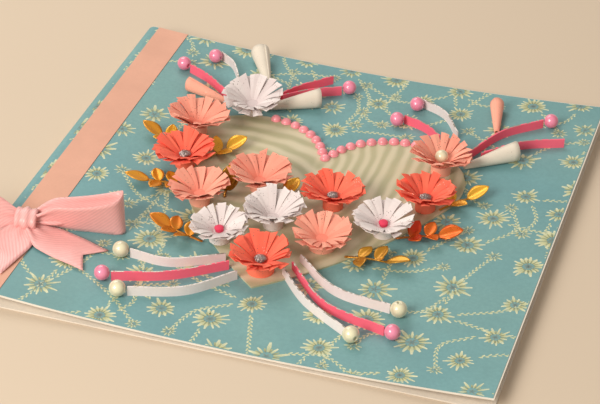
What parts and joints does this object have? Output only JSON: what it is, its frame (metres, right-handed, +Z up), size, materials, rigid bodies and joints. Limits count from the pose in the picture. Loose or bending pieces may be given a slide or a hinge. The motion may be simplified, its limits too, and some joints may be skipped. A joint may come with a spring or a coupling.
{
  "type": "greeting card",
  "caption": "Square folded greeting card with a printed cover, a raised heart, fringed paper flowers, curled strips, pearl beads, foil leaves and a tied ribbon bow.",
  "frame": {"origin": "middle of the back leaf's underside, which is the face the card lies on", "axes": "+X from the fold to the fore edge, +Y to the top of the card, +Z up through the decorated cover"},
  "size_m": [0.1698, 0.152, 0.0171],
  "materials": {
    "white_card": "smooth uncoated card",
    "printed_paper": "turquoise printed paper with pale yellow flowers and vines",
    "salmon_paper": "matte plain paper",
    "pink_satin": "satin ribbon with a soft sheen",
    "marbled_card": "khaki and cream marbled card",
    "pink_bead": "soft gloss",
    "bead_mix": "pearl, silver grey and crimson",
    "white_fringe": "white paper with specks of glitter",
    "salmon_fringe": "salmon paper with specks of glitter",
    "coral_fringe": "bright coral paper",
    "pink_pearl": "pearl lacquer",
    "white_pearl": "pearl lacquer",
    "pink_paper": "matte paper strip",
    "white_paper": "matte paper strip",
    "gold_foil": "metallic foil on card"
  },
  "bodies": {
    "root": {"coral_flower_1": "coral_fringe", "coral_flower_2": "coral_fringe", "coral_flower_3": "coral_fringe", "coral_flower_4": "coral_fringe", "flower_centre_beads": "bead_mix", "folded_card": "white_card", "heart": "marbled_card", "heart_bead_trim": "pink_bead", "leaf_sprig_1": "gold_foil", "leaf_sprig_2": "gold_foil", "leaf_sprig_3": "gold_foil", "leaf_sprig_4": "gold_foil", "leaf_sprig_5": "gold_foil", "leaf_sprig_6": "gold_foil", "leaf_sprig_7": "gold_foil", "leaf_sprig_8": "gold_foil", "leaf_sprig_9": "gold_foil", "pink_pearl_1": "pink_pearl", "pink_pearl_2": "pink_pearl", "pink_pearl_3": "pink_pearl", "pink_pearl_4": "pink_pearl", "pink_pearl_5": "pink_pearl", "pink_pearl_6": "pink_pearl", "pink_pearl_7": "pink_pearl", "pink_pearl_8": "pink_pearl", "pink_strip_1": "pink_paper", "pink_strip_2": "pink_paper", "pink_strip_3": "pink_paper", "pink_strip_4": "pink_paper", "pink_strip_5": "pink_paper", "pink_strip_6": "pink_paper", "pink_strip_7": "pink_paper", "pink_strip_8": "pink_paper", "printed_panel": "printed_paper", "ribbon_bow": "pink_satin", "salmon_cone_1": "salmon_paper", "salmon_cone_2": "salmon_paper", "salmon_flower_1": "salmon_fringe", "salmon_flower_2": "salmon_fringe", "salmon_flower_3": "salmon_fringe", "salmon_flower_4": "salmon_fringe", "salmon_flower_5": "salmon_fringe", "spine_band": "salmon_paper", "white_cone_1": "white_paper", "white_cone_2": "white_paper", "white_cone_3": "white_paper", "white_flower_1": "white_fringe", "white_flower_2": "white_fringe", "white_flower_3": "white_fringe", "white_flower_4": "white_fringe", "white_pearl_1": "white_pearl", "white_pearl_2": "white_pearl", "white_pearl_3": "white_pearl", "white_pearl_4": "white_pearl", "white_strip_1": "white_paper", "white_strip_2": "white_paper", "white_strip_3": "white_paper", "white_strip_4": "white_paper", "white_strip_5": "white_paper", "white_strip_6": "white_paper"}
  },
  "joints": []
}
